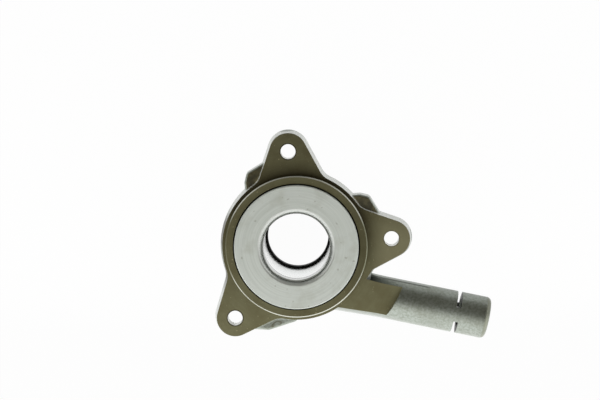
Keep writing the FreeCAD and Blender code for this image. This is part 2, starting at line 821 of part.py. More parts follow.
def guide_sleeve():
    """The thin steel tube that the piston runs on and the input shaft passes through."""
    bore = dim.sleeve_bore
    seat_top = -(dim.end_seal_depth - dim.end_seal_lead)
    groove = dim.sleeve_radius - dim.stop_groove_depth
    groove_top = -dim.stop_ring_depth + dim.stop_groove_play
    groove_end = -(dim.stop_ring_depth + dim.stop_ring_thick + dim.stop_groove_play)
    body = ring("guide_sleeve", [
        (bore, dim.sleeve_top),
        (dim.sleeve_radius, dim.sleeve_top),
        (dim.sleeve_radius, groove_top),
        (groove, groove_top),
        (groove, groove_end),
        (dim.sleeve_radius, groove_end),
        (dim.sleeve_radius, -dim.sleeve_end),
        (dim.seal_seat_radius, -dim.sleeve_end),
        (dim.seal_seat_radius, seat_top),
        (bore, seat_top),
    ])
    ends = [
        (bore, dim.sleeve_top),
        (dim.sleeve_radius, dim.sleeve_top),
        (dim.sleeve_radius, -dim.sleeve_end),
    ]
    dress_rings(body, "Chamfer", "end_chamfers", ends, dim.sleeve_chamfer)


def stop_ring():
    """The open snap ring that keeps the spring from pushing the piston off the sleeve."""
    inner = dim.sleeve_radius - dim.stop_groove_depth + dim.sleeve_fit
    ring("stop_ring", [
        (inner, -dim.stop_ring_depth),
        (dim.stop_ring_radius, -dim.stop_ring_depth),
        (dim.stop_ring_radius, -(dim.stop_ring_depth + dim.stop_ring_thick)),
        (inner, -(dim.stop_ring_depth + dim.stop_ring_thick)),
    ], dim.stop_ring_angle)


def sleeve_end_seal():
    """The rubber ring in the sleeve's far end, with a rim over the tube's edge."""
    seat = dim.seal_seat_radius - dim.sleeve_fit
    rim_top = -(dim.sleeve_end + dim.sleeve_fit)
    rim_end = rim_top - dim.end_seal_rim
    body = ring("sleeve_end_seal", [
        (dim.end_seal_radius, -dim.end_seal_depth),
        (seat, -dim.end_seal_depth),
        (seat, rim_top),
        (dim.sleeve_radius, rim_top),
        (dim.sleeve_radius, rim_end),
        (dim.end_seal_radius, rim_end),
    ])
    places = [(dim.sleeve_radius, rim_end), (dim.end_seal_radius, rim_end)]
    dress_rings(body, "Fillet", "rim_rounds", places, dim.end_seal_round)


def piston():
    """The annular piston, shown pushed out against the stop ring."""
    bore = dim.sleeve_radius + dim.running_gap
    outer = dim.cylinder_radius - dim.piston_gap
    stop = dim.stop_shoulder
    wiper_seat = bore + dim.wiper_thick
    wiper_end = dim.wiper_top + dim.wiper_height
    guide_seat = outer - dim.guide_ring_thick
    guide_end = dim.guide_ring_top + dim.guide_ring_height
    seat = dim.retainer_radius + dim.piston_seat_gap
    nose = dim.plate_top
    body = ring("piston", [
        (bore, -dim.piston_top),
        (outer, -dim.piston_top),
        (outer, -dim.guide_ring_top),
        (guide_seat, -dim.guide_ring_top),
        (guide_seat, -guide_end),
        (outer, -guide_end),
        (outer, -nose),
        (seat, -nose),
        (seat, -dim.piston_seat_top),
        (dim.piston_clear_radius, -dim.piston_seat_top),
        (dim.piston_clear_radius, -stop),
        (bore, -stop),
        (bore, -wiper_end),
        (wiper_seat, -wiper_end),
        (wiper_seat, -dim.wiper_top),
        (bore, -dim.wiper_top),
    ])
    dress_rings(body, "Fillet", "nose_round", [(outer, -nose)], dim.piston_edge_round)


def piston_guide_ring():
    """The split slide ring in the piston's outer groove."""
    outer = dim.cylinder_radius - dim.running_gap
    inner = dim.cylinder_radius - dim.piston_gap - dim.guide_ring_thick + dim.sleeve_fit
    ring("piston_guide_ring", [
        (inner, -(dim.guide_ring_top + dim.sleeve_fit)),
        (outer, -(dim.guide_ring_top + dim.sleeve_fit)),
        (outer, -(dim.guide_ring_top + dim.guide_ring_height - dim.sleeve_fit)),
        (inner, -(dim.guide_ring_top + dim.guide_ring_height - dim.sleeve_fit)),
    ], dim.guide_ring_angle)


def sleeve_wiper():
    """The wiper in the piston's bore, which keeps dust on the sleeve away from the seal."""
    inner = dim.sleeve_radius + dim.running_gap
    outer = inner + dim.wiper_thick - dim.sleeve_fit
    end = dim.wiper_top + dim.wiper_height
    ring("sleeve_wiper", [
        (inner + dim.wiper_lip_width, -(dim.wiper_top + dim.sleeve_fit)),
        (outer, -(dim.wiper_top + dim.sleeve_fit)),
        (outer, -(end - dim.sleeve_fit)),
        (inner, -(end - dim.sleeve_fit)),
        (inner, -(end - dim.wiper_lip_height)),
    ])


def support_ring():
    """The plastic ring under the seal, whose rib holds the seal to the piston."""
    top = dim.piston_top - dim.support_thick
    rib_top = top - dim.support_rib_height
    ring("seal_support_ring", [
        (dim.sleeve_radius + dim.piston_gap, -dim.piston_top),
        (dim.sleeve_radius + dim.piston_gap, -top),
        (dim.support_rib_inner, -top),
        (dim.support_rib_inner, -rib_top),
        (dim.support_rib_outer, -rib_top),
        (dim.support_rib_outer, -top),
        (dim.cylinder_radius - dim.piston_gap, -top),
        (dim.cylinder_radius - dim.piston_gap, -dim.piston_top),
    ])


def piston_seal():
    """The rubber lip seal: a cup whose two lips wipe the sleeve and the cylinder."""
    inner = dim.sleeve_radius + dim.running_gap
    outer = dim.cylinder_radius - dim.running_gap
    base = dim.piston_top - dim.support_thick
    floor = base - dim.seal_base
    lips = base - dim.seal_height
    rib_top = base - dim.support_rib_height - dim.rib_fit
    ring("piston_seal", [
        (inner, -base),
        (dim.support_rib_inner - dim.rib_fit, -base),
        (dim.support_rib_inner - dim.rib_fit, -rib_top),
        (dim.support_rib_outer + dim.rib_fit, -rib_top),
        (dim.support_rib_outer + dim.rib_fit, -base),
        (outer, -base),
        (outer, -lips),
        (outer - dim.seal_lip, -lips),
        (outer - dim.seal_lip_root, -floor),
        (inner + dim.seal_lip_root, -floor),
        (inner + dim.seal_lip, -lips),
        (inner, -lips),
    ])


def spring_plate():
    """The pressed plate on the piston's nose, with a rim round the spring."""
    top, end = dim.plate_top, dim.plate_end
    bore = dim.retainer_radius + dim.plate_bore_gap
    inner_rim = dim.plate_rim_radius - dim.plate_rim_wall
    body = ring("spring_plate", [
        (bore, -top),
        (inner_rim, -top),
        (inner_rim, -(top - dim.plate_rim_height)),
        (dim.plate_rim_radius, -(top - dim.plate_rim_height)),
        (dim.plate_rim_radius, -end),
        (bore, -end),
    ])
    corner = [(dim.plate_rim_radius, -end)]
    dress_rings(body, "Fillet", "plate_round", corner, dim.plate_rim_wall)


def bearing_retainer():
    """The flanged sleeve, clipped into the piston, that holds the bearing with radial play."""
    inner, end = dim.retainer_inner, dim.retainer_end
    flange_top = dim.retainer_flange_top
    body = ring("bearing_retainer", [
        (inner, -dim.retainer_top),
        (dim.retainer_radius, -dim.retainer_top),
        (dim.retainer_radius, -flange_top),
        (dim.retainer_flange_radius, -flange_top),
        (dim.retainer_flange_radius, -end),
        (inner, -end),
    ])
    dress_rings(body, "Fillet", "inner_round", [(inner, -end)], dim.retainer_round)


def wave_edge(radius, height, waves, lift):
    """A closed curve about Z that rises and falls in even waves."""
    count = waves * POINTS_PER_WAVE
    points = []
    for step in range(count):
        turn = 2 * math.pi * step / count
        z = height + lift * math.cos(waves * turn)
        points.append(Vector(radius * math.cos(turn), radius * math.sin(turn), z))
    curve = Part.BSplineCurve()
    curve.interpolate(points, PeriodicFlag=True)
    return Part.Wire(curve.toShape())


def centring_spring():
    """The wave washer that lets the bearing slide sideways until it is centred."""
    waves = int(dim.wave_count.value)
    space, thick, gap = dim.wave_space.value, dim.wave_thick.value, dim.wave_gap.value
    lift = 0.5 * (space - thick) - gap
    low = -dim.ring_flange_end.value - 0.5 * (space + thick)
    inner = wave_edge(dim.wave_inner.value, low, waves, lift)
    outer = wave_edge(dim.wave_outer.value, low, waves, lift)
    face = Part.makeRuledSurface(outer, inner)
    solid = face.extrude(Vector(0, 0, thick)).Solids[0]
    feature = doc.addObject("Part::Feature", "centring_spring")
    feature.Label = "centring_spring"
    feature.Shape = solid
    parts.append(feature)


def cut_raceway(body, name):
    """The round groove that the balls run in."""
    sketch = new_sketch(body, name + "_section", "XZ_Plane")
    draw_circle(sketch, dim.ball_circle, -dim.ball_depth, dim.ball_radius + dim.ball_gap)
    turn_feature(body, "Groove", name, sketch)


def bearing_fixed_ring():
    """The bearing's still outer ring, with the inward flange it is held by."""
    bore = dim.retainer_radius + dim.centring_play
    top = dim.plate_end
    flange_end = dim.ring_flange_end
    middle = dim.ball_depth
    front = middle + dim.fixed_ring_front
    body = ring("bearing_fixed_ring", [
        (bore, -top),
        (dim.fixed_ring_radius, -top),
        (dim.fixed_ring_radius, -front),
        (dim.fixed_front_radius, -front),
        (dim.fixed_front_radius, -middle),
        (dim.fixed_shoulder_radius, -middle),
        (dim.fixed_shoulder_radius, -flange_end),
        (bore, -flange_end),
    ])
    corner = [(dim.fixed_ring_radius, -top)]
    dress_rings(body, "Fillet", "fixed_ring_round", corner, dim.fixed_edge_round)
    cut_raceway(body, "fixed_raceway")


def contact_ring():
    """The spinning ring that the clutch fingers press on."""
    top, face = dim.contact_top, dim.contact_face
    middle = dim.ball_depth
    flange_top = dim.contact_flange_top
    body = ring("contact_ring", [
        (dim.contact_bore, -top),
        (dim.contact_land_radius, -top),
        (dim.contact_land_radius, -middle),
        (dim.contact_neck_radius, -middle),
        (dim.contact_neck_radius, -flange_top),
        (dim.contact_flange_radius, -flange_top),
        (dim.contact_flange_radius, -face),
        (dim.contact_bore, -face),
    ])
    nose = [(dim.contact_flange_radius, -face)]
    dress_rings(body, "Fillet", "contact_nose", nose, dim.contact_nose_round)
    mouth = [(dim.contact_bore, -face)]
    dress_rings(body, "Fillet", "contact_mouth", mouth, dim.contact_bore_round)
    cut_raceway(body, "contact_raceway")


def bearing_seals():
    """Two shield rings in the fixed ring, behind and in front of the balls."""
    rear_top = dim.rear_seal_top
    rear_inner = dim.contact_land_radius + dim.seal_disc_gap
    rear_outer = dim.fixed_shoulder_radius - dim.sleeve_fit
    front_top = dim.front_seal_top
    front_inner = dim.contact_neck_radius + dim.seal_disc_gap
    front_outer = dim.fixed_front_radius - dim.sleeve_fit
    for name, top, inner, outer in (
        ("bearing_seal_rear", rear_top, rear_inner, rear_outer),
        ("bearing_seal_front", front_top, front_inner, front_outer),
    ):
        ring(name, [
            (inner, -top),
            (outer, -top),
            (outer, -(top + dim.seal_disc_thick)),
            (inner, -(top + dim.seal_disc_thick)),
        ])


def bearing_cage():
    """The snap-in cage: a plastic crown with an open pocket for each ball."""
    middle = dim.ball_depth
    body = ring("bearing_cage", [
        (dim.cage_inner, -(middle - dim.cage_rise)),
        (dim.cage_outer, -(middle - dim.cage_rise)),
        (dim.cage_outer, -(middle + dim.cage_drop)),
        (dim.cage_inner, -(middle + dim.cage_drop)),
    ])
    sketch = new_sketch(body, "pocket_circle", "YZ_Plane")
    draw_circle(sketch, 0, -middle, dim.ball_radius + dim.cage_pocket_gap)
    pocket = cut_through(body, "first_pocket", sketch, both_ways=False)
    pattern = body.newObject("PartDesign::PolarPattern", "pockets")
    pattern.Originals = [pocket]
    pattern.Axis = (sketch, ["V_Axis"])
    pattern.Angle = 360
    pattern.Occurrences = int(dim.ball_count.value)
    pattern.setExpression("Occurrences", dim.ball_count.text)
    body.Tip = pattern
    doc.recompute()


def bearing_balls():
    """The bearing's balls, evenly round the raceways in the cage's pockets."""
    count = int(dim.ball_count.value)
    balls = []
    for index in range(count):
        turn = Size(360.0 * index / count, f"(360 * {index} / {dim.ball_count.text})")
        ball = doc.addObject("Part::Sphere", f"ball_{index + 1}")
        ball.setExpression("Radius", dim.ball_radius.text)
        ball.setExpression("Placement.Base.x", (dim.ball_circle * turn.cos()).text)
        ball.setExpression("Placement.Base.y", (dim.ball_circle * turn.sin()).text)
        ball.setExpression("Placement.Base.z", (-dim.ball_depth).text)
        balls.append(ball)
    group = doc.addObject("Part::Compound", "bearing_balls")
    group.Label = "bearing_balls"
    group.Links = balls
    doc.recompute()
    parts.append(group)


def preload_spring():
    """The round-wire coil that keeps the bearing on the clutch, from the housing to the plate."""
    wire = dim.spring_wire_radius.value
    radius = dim.spring_radius.value
    gap = dim.spring_end_gap.value
    top = -dim.boss_depth.value - wire - gap
    low = -dim.plate_top.value + wire + gap
    turns = dim.spring_turns.value
    helix = Part.makeHelix((top - low) / turns, top - low, radius)
    circle = Part.Circle(Vector(radius, 0, 0), Vector(0, 1, 0), wire)
    step = 2 * math.pi / ARCS_PER_SECTION
    arcs = [Part.Arc(circle, step * i, step * (i + 1)) for i in range(ARCS_PER_SECTION)]
    section = Part.Wire([arc.toShape() for arc in arcs])
    coil = Part.Wire(helix.Edges).makePipeShell([section], True, True)
    feature = doc.addObject("Part::Feature", "preload_spring")
    feature.Label = "preload_spring"
    feature.Shape = coil
    feature.Placement = Placement(Vector(0, 0, low), Rotation())
    parts.append(feature)


def boot_ends():
    """Depth of the boot's upper bead and of its lower one."""
    upper = dim.boot_groove_top + dim.boot_fit
    lower = dim.plate_top - dim.plate_rim_height + dim.boot_fit
    return upper, lower


def dust_boot():
    """The rubber bellows between the housing's collar and the spring plate's rim."""
    upper, lower = boot_ends()
    groove = dim.collar_radius - dim.boot_groove_depth + dim.boot_fit
    bead_end = dim.boot_groove_top + dim.boot_groove_width - dim.boot_fit
    neck = dim.collar_radius + dim.boot_fit
    bead = neck + dim.boot_wall
    grip = dim.plate_rim_radius + dim.boot_fit
    fold_top = dim.collar_end + dim.boot_wall
    count = int(dim.boot_folds.value)
    run = (lower - fold_top) / count
    outside = [(bead, -upper), (bead, -fold_top)]
    inside = [(groove, -upper), (groove, -bead_end), (neck, -bead_end), (neck, -fold_top)]
    for fold in range(count):
        valley = fold_top + run * (fold + 0.5)
        crest = fold_top + run * (fold + 1)
        outside.append((dim.boot_valley + dim.boot_wall, -valley))
        inside.append((dim.boot_valley, -valley))
        if fold < count - 1:
            outside.append((dim.boot_peak, -crest))
            inside.append((dim.boot_peak - dim.boot_wall, -crest))
    end = dim.plate_top
    outside += [(grip + dim.boot_bead_wall, -lower), (grip + dim.boot_bead_wall, -end)]
    inside += [(grip, -lower), (grip, -end)]
    ring("dust_boot", inside + outside[::-1])


def boot_clamp():
    """The band that holds the boot in the housing's groove."""
    inner = dim.collar_radius + dim.boot_fit + dim.boot_wall + dim.boot_fit
    middle = dim.boot_groove_top + dim.boot_groove_width / 2
    ring("boot_clamp", [
        (inner, -(middle - dim.clamp_height / 2)),
        (inner + dim.clamp_wall, -(middle - dim.clamp_height / 2)),
        (inner + dim.clamp_wall, -(middle + dim.clamp_height / 2)),
        (inner, -(middle + dim.clamp_height / 2)),
    ])


def check_parts():
    """Stops if any object failed or any sub-part has no sound solid."""
    for item in doc.Objects:
        if "Invalid" in item.State or "Error" in item.State:
            raise RuntimeError(f"{item.Name} failed: {item.State}")
    for item in parts:
        shape = item.Shape
        if shape.isNull() or not shape.isValid() or not shape.Solids:
            raise RuntimeError(f"{item.Label} has no valid solid")


def write_parts():
    os.makedirs("parts", exist_ok=True)
    for item in parts:
        item.Shape.exportStep(f"parts/{item.Label}.step")


fill_sheet()
derive_radii()
derive_depths()
housing()
sleeve_flange()
sleeve_o_ring()
guide_sleeve()
stop_ring()
sleeve_end_seal()
piston()
piston_guide_ring()
sleeve_wiper()
support_ring()
piston_seal()
spring_plate()
bearing_retainer()
centring_spring()
bearing_fixed_ring()
bearing_seals()
bearing_cage()
bearing_balls()
contact_ring()
preload_spring()
dust_boot()
boot_clamp()
doc.recompute()
check_parts()
write_parts()
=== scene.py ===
import json
import math

import bmesh
import bpy
from mathutils import Matrix, Vector

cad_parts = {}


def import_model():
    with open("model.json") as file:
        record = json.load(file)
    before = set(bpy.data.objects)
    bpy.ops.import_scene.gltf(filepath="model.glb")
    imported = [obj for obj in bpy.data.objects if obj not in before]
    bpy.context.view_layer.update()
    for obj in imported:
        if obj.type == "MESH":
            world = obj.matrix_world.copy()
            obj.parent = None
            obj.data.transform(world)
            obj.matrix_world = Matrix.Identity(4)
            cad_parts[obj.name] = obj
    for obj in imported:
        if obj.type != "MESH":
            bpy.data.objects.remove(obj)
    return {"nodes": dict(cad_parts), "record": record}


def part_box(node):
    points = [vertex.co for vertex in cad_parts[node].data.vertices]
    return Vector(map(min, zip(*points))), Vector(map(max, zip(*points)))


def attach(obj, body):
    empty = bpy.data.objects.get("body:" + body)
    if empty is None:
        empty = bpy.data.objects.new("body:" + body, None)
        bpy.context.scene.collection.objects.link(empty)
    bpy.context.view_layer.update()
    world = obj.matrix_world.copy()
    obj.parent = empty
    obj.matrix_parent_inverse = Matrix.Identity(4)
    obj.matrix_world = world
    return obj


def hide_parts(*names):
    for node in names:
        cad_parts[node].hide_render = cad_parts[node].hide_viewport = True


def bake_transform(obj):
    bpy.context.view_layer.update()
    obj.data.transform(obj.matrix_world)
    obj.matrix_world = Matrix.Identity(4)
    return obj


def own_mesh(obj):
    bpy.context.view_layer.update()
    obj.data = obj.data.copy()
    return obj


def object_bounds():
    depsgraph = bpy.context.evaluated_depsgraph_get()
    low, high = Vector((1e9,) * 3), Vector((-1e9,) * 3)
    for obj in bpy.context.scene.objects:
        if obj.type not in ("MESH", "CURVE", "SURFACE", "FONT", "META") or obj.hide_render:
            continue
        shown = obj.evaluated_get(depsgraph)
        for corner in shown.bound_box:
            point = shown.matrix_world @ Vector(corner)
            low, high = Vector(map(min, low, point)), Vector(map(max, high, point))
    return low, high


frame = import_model()
cad_box = [list(map(float, corner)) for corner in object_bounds()]
nodes = frame["nodes"]
MM = 0.001

# The port's axis: a point on it, its direction, and the direction across it in the face's plane.
PORT_FOOT = Vector((-0.002978, -0.014702, -0.0062))
PORT_ALONG = Vector((0.98010, -0.19852, 0.0))
PORT_ACROSS = Vector((0.19852, 0.98010, 0.0))
# The three mounting holes: the radius of their circle and their angles.
EAR_CIRCLE = 41.3 * MM
EAR_ANGLES = [math.radians(a) for a in (95.1, 4.8, 229.8)]
# Radii just outside the pilot ring, and just outside the gap within it.
RING_LIMIT = 31.15 * MM
GAP_LIMIT = 27.55 * MM
# The level of the studio's side lights, high up and at the horizon.
SIDE_LIGHT = 1.5
SIDE_FALL = 0.55
# The share of the floor that looks lit by itself. The rest of it keeps the shadow.
FLOOR_GLOW = 0.97
# How many straight steps make a full turn of the boot and of the coil.
BOOT_STEPS = 96
COIL_STEPS = 64


# Nodes
class Tree:
    """Short names for the nodes of a material or of the world."""

    def __init__(self, owner):
        owner.use_nodes = True
        self.tree = owner.node_tree

    def node(self, kind, **settings):
        made = self.tree.nodes.new("ShaderNode" + kind)
        for key, value in settings.items():
            setattr(made, key, value)
        return made

    def join(self, source, target):
        self.tree.links.new(source, target)

    def feed(self, socket, value):
        if hasattr(value, "is_output"):
            self.join(value, socket)
        else:
            socket.default_value = value

    def math(self, operation, a, b=0.0):
        made = self.node("Math", operation=operation)
        self.feed(made.inputs[0], a)
        self.feed(made.inputs[1], b)
        return made.outputs[0]

    def add(self, a, b):
        return self.math("ADD", a, b)

    def mul(self, *values):
        made = values[0]
        for value in values[1:]:
            made = self.math("MULTIPLY", made, value)
        return made

    def rest(self, value):
        """What is left of 1."""
        return self.math("SUBTRACT", 1.0, value)

    def top(self, a, b):
        return self.math("MAXIMUM", a, b)

    def over(self, value, limit):
        return self.math("GREATER_THAN", value, limit)

    def under(self, value, limit):
        return self.math("LESS_THAN", value, limit)

    def size(self, value):
        return self.math("ABSOLUTE", value)

    def step(self, value, low, high, soft=False):
        """0 at low, 1 at high, and even or soft between them."""
        made = self.node("MapRange", clamp=True)
        made.interpolation_type = "SMOOTHSTEP" if soft else "LINEAR"
        self.feed(made.inputs["Value"], value)
        made.inputs["From Min"].default_value = low
        made.inputs["From Max"].default_value = high
        return made.outputs[0]

    def band(self, value, low, high, soft):
        """1 between low and high, falling to 0 over soft on either side."""
        return self.mul(self.step(value, low - soft, low), self.step(value, high + soft, high))

    def split(self, vector):
        made = self.node("SeparateXYZ")
        self.join(vector, made.inputs[0])
        return made.outputs

    def merge(self, x, y, z):
        made = self.node("CombineXYZ")
        for socket, value in zip(made.inputs, (x, y, z)):
            self.feed(socket, value)
        return made.outputs[0]

    def dot(self, vector, direction):
        made = self.node("VectorMath", operation="DOT_PRODUCT")
        self.join(vector, made.inputs[0])
        made.inputs[1].default_value = direction
        return made.outputs["Value"]

    def far(self, x, y):
        """How far a point lies from the axis of its two coordinates."""
        return self.math("SQRT", self.add(self.mul(x, x), self.mul(y, y)))

    def noise(self, scale, detail=3.0, rough=0.5, vector=None):
        made = self.node("TexNoise")
        self.join(vector or self.place, made.inputs["Vector"])
        made.inputs["Scale"].default_value = scale
        made.inputs["Detail"].default_value = detail
        made.inputs["Roughness"].default_value = rough
        return made.outputs[0]

    def blend(self, amount, a, b, kind="RGBA"):
        made = self.node("Mix", data_type=kind)
        self.feed(made.inputs["Factor"], amount)
        for name, value in (("A", a), ("B", b)):
            socket = [s for s in made.inputs if s.name == name and s.type == kind][0]
            self.feed(socket, value)
        return [s for s in made.outputs if s.type == kind][0]

    def bump(self, height, strength, distance, normal):
        made = self.node("Bump")
        self.join(height, made.inputs["Height"])
        made.inputs["Strength"].default_value = strength
        made.inputs["Distance"].default_value = distance
        self.join(normal, made.inputs["Normal"])
        return made.outputs[0]

    def rounded(self, radius):
        """The surface's direction as if its edges were broken by this radius."""
        made = self.node("Bevel", samples=6)
        made.inputs["Radius"].default_value = radius
        return made.outputs[0]


class Skin(Tree):
    """A material with the standard surface shader."""

    def __init__(self, name):
        self.material = bpy.data.materials.new(name)
        super().__init__(self.material)
        self.shader = self.tree.nodes["Principled BSDF"]
        place = self.node("TexCoord")
        self.place = place.outputs["Object"]
        self.normal = place.outputs["Normal"]

    def set(self, name, value):
        self.feed(self.shader.inputs[name], value)

    def turning(self, pitch):
        """Fine rings about Z, as a lathe leaves them, broken up a little."""
        x, y, z = self.split(self.place)
        angle = self.math("ARCTAN2", y, x)
        line = self.merge(self.mul(self.far(x, y), 1.0 / pitch), self.mul(angle, 0.6), 0.0)
        return self.noise(1.0, 2.0, 0.6, vector=line)


def tone(r, g, b):
    """A colour written as it is seen, turned into the renderer's linear one."""
    def linear(v):
        v /= 255.0
        return v / 12.92 if v <= 0.04045 else ((v + 0.055) / 1.055) ** 2.4
    return (linear(r), linear(g), linear(b), 1.0)


# The housing's material
class Casting(Skin):
    """Die-cast aluminium, raw and mottled, with its machined faces a darker olive.

    The masks tell the housing's regions apart by place, height and direction."""

    def __init__(self):
        super().__init__("cast_aluminium")
        self.x, self.y, self.z = self.split(self.place)
        self.faces_y, self.up = self.split(self.normal)[1:3]
        self.radius = self.far(self.x, self.y)
        self.mark_machined()
        self.mark_port()
        self.mark_walls()
        self.mark_lobes()
        self.mark_holes()
        self.finish()

    def mark_machined(self):
        """The faces cut level with Z 0, and the pilot ring with its rim and its groove."""
        level = self.under(self.size(self.z), 0.06 * MM)
        self.flat = self.mul(level, self.over(self.up, 0.9))
        self.ring = self.mul(self.under(self.radius, RING_LIMIT), self.over(self.z, -0.2 * MM))
        self.cut = self.top(self.flat, self.ring)
        self.raw = self.rest(self.cut)
        slant = self.band(self.up, 0.35, 0.93, 0.04)
        self.rim = self.mul(slant, self.band(self.radius, 30.3 * MM, 30.9 * MM, 0.05 * MM))
        self.groove = self.mul(self.under(self.radius, GAP_LIMIT), self.over(self.z, 0.0))
        # The left side, with painted shade: the rim and the walls are darker there, and the
        # painted ring shadow is weaker.
        leftward = self.step(self.x, -24 * MM, -30 * MM)
        self.left = self.mul(leftward, self.band(self.y, -14 * MM, 10 * MM, 7 * MM))
        # Painted shadow of the ring on the face round it, thickest at the top.
        ring_shadow = self.mul(self.step(self.radius, 38 * MM, 30.9 * MM), self.flat)
        ring_shadow = self.mul(ring_shadow, self.step(self.y, -12 * MM, 16 * MM))
        self.ring_shadow = self.mul(ring_shadow, self.rest(self.mul(self.left, 0.8)))

    def mark_port(self):
        """The port's clip slots and root pocket, both with painted shade, its dull end, and its
        parting line with a painted highlight.
        """
        self.reach = self.add(self.dot(self.place, PORT_ALONG), -PORT_FOOT.dot(PORT_ALONG))
        self.across = self.add(self.dot(self.place, PORT_ACROSS), -PORT_FOOT.dot(PORT_ACROSS))
        above = self.add(self.z, -PORT_FOOT.z)
        around = self.math("ARCTAN2", self.across, above)
        self.aside = self.far(self.across, above)
        slots = self.band(self.reach, 73.1 * MM, 75.3 * MM, 0.1 * MM)
        self.slot = self.mul(slots, self.step(self.aside, 9.0 * MM, 8.6 * MM))
        self.strip = self.step(self.reach, 86.0 * MM, 86.6 * MM)
        root = self.band(self.reach, 30.0 * MM, 35.0 * MM, 7.5 * MM)
        self.pocket = self.mul(self.band(around, 0.2, 1.12, 0.05), root)
        # Along the parting line: a painted highlight band, with a painted shade line beside it.
        run = self.band(self.reach, 18.0 * MM, 59.5 * MM, 2.0 * MM)
        self.parting_highlight = self.mul(self.band(around, 1.33, 1.80, 0.02), run)
        self.parting_shade_line = self.mul(self.band(around, 1.17, 1.27, 0.02), run)

    def mark_walls(self):
        """The side walls of the flange and the ears, clear of the port except below it."""
        steep = self.step(self.up, 0.7, 0.4)
        wall = self.mul(steep, self.mul(self.step(self.z, -7.3 * MM, -7.0 * MM), self.raw))
        # In the notch between ear and port the wall comes nearer to the port's axis.
        in_notch = self.under(self.reach, 34.3 * MM)
        clear = self.add(self.aside, self.mul(in_notch, 0.8 * MM))
        inside = self.step(self.radius, 50.0 * MM, 49.6 * MM)
        beside = self.mul(self.step(clear, 9.8 * MM, 10.2 * MM), inside)
        below = self.mul(self.under(self.across, 0.0), self.step(self.reach, 56 * MM, 42 * MM))
        self.wall = self.mul(wall, self.top(beside, below))

    def mark_lobes(self):
        """The cast lobes' faces, the upper ones darkened as painted shade, their soft corners,
        and the gate mark on the lowest lobe.
        """
        facing = self.step(self.up, 0.93, 0.985)
        low = self.mul(facing, self.band(self.z, -2.8 * MM, -1.6 * MM, 0.1 * MM))
        low = self.mul(low, self.step(self.radius, 50 * MM, 48 * MM))
        self.upper_lobes_shaded = self.mul(low, self.step(self.y, -12 * MM, 4 * MM))
        corners = self.band(self.z, -4.2 * MM, -1.6 * MM, 0.2 * MM)
        self.worn = self.mul(corners, self.raw)
        # An oval line of 2.3 by 1.15 mm, turned by 24 degrees.
        long = self.add(self.dot(self.place, (0.913, 0.408, 0.0)), 22.0 * MM)
        short = self.add(self.dot(self.place, (-0.408, 0.913, 0.0)), 28.0 * MM)
        oval = self.far(self.mul(long, 435.0), self.mul(short, 870.0))
        self.gate = self.mul(low, self.band(oval, 0.75, 1.0, 0.2))

    def mark_holes(self):
        """The drilled walls of the ear holes, and a darker ring round each."""
        self.drilled, self.hole_rim_dark = 0.0, 0.0
        for angle in EAR_ANGLES:
            off_x = self.add(self.x, -EAR_CIRCLE * math.cos(angle))
            off_y = self.add(self.y, -EAR_CIRCLE * math.sin(angle))
            off = self.far(off_x, off_y)
            self.drilled = self.add(self.under(off, 3.27 * MM), self.drilled)
            self.hole_rim_dark = self.add(self.step(off, 3.85 * MM, 3.55 * MM), self.hole_rim_dark)

    def raw_tone(self):
        cloud = self.noise(95.0, 3.0, 0.55)
        speck = self.noise(2600.0, 2.0, 0.6)
        grain = self.step(self.noise(980.0, 4.0, 0.6), 0.38, 0.62)
        patches = self.step(self.noise(190.0, 3.0, 0.55), 0.40, 0.62)
        # The upper lobes' mottled faces, darkened as painted shade.
        face = self.blend(patches, tone(78, 72, 50), tone(130, 122, 88))
        # Painted light: the side walls are bright, as if lit from the sides. The walls that face
        # the lit table are darker, or they would clip to white, and those on the left carry
        # painted shade.
        side = self.step(self.faces_y, -0.1, -0.6)
        side = self.blend(side, tone(214, 217, 213), tone(150, 154, 149))
        side = self.blend(self.mul(self.left, 0.9), side, tone(58, 56, 40))

        made = self.blend(grain, tone(130, 135, 126), tone(153, 159, 152))
        for amount, over in (
            (self.mul(self.step(cloud, 0.42, 0.7), 0.5), tone(118, 121, 110)),
            (self.mul(self.step(speck, 0.60, 0.75), 0.3), tone(186, 187, 176)),
            (self.mul(self.strip, 0.7), tone(116, 117, 102)),
            # Painted highlight and painted shade line along the parting line.
            (self.mul(self.parting_highlight, 0.4), tone(176, 182, 176)),
            (self.mul(self.parting_shade_line, 0.7), tone(52, 54, 48)),
            # Painted shade on the upper lobes' faces.
            (self.mul(self.upper_lobes_shaded, 0.85), face),
            (self.mul(self.gate, 0.6), tone(82, 76, 50)),
            # Painted shade in the root pocket.
            (self.mul(self.pocket, 0.9), tone(26, 26, 22)),
            # Painted shade in the clip slots.
            (self.slot, tone(44, 44, 40)),
            # Painted light and shade on the side walls.
            (self.wall, side),
            (self.drilled, tone(238, 239, 236)),
        ):
            made = self.blend(amount, made, over)
        return made

    def cut_tone(self, rings):
        stain = self.noise(70.0, 4.0, 0.6)
        grit = self.step(self.noise(1100.0, 2.0, 0.5), 0.69, 0.75)
        # Painted shade: the ring is a little darker to the right and below. Painted light: the
        # right ear is paler.
        rightward = self.step(self.x, 18 * MM, 28 * MM)
        downward = self.mul(self.step(self.y, -18 * MM, -28 * MM), 0.6)
        shade = self.mul(self.ring, self.top(rightward, downward))
        right_ear_light = self.mul(self.flat, self.step(self.x, 32 * MM, 39 * MM))
        right_ear_light = self.mul(right_ear_light, self.band(self.y, -9 * MM, 6 * MM, 10 * MM))
        # Painted highlight on the ring's rim: brighter above and below than at the sides, and
        # darker on the left.
        rim_highlight = self.step(self.size(self.y), 9 * MM, 14 * MM)
        rim_highlight = self.blend(rim_highlight, tone(134, 135, 114), tone(180, 181, 171))
        rim_highlight = self.blend(self.mul(self.left, 0.8), rim_highlight, tone(88, 86, 64))

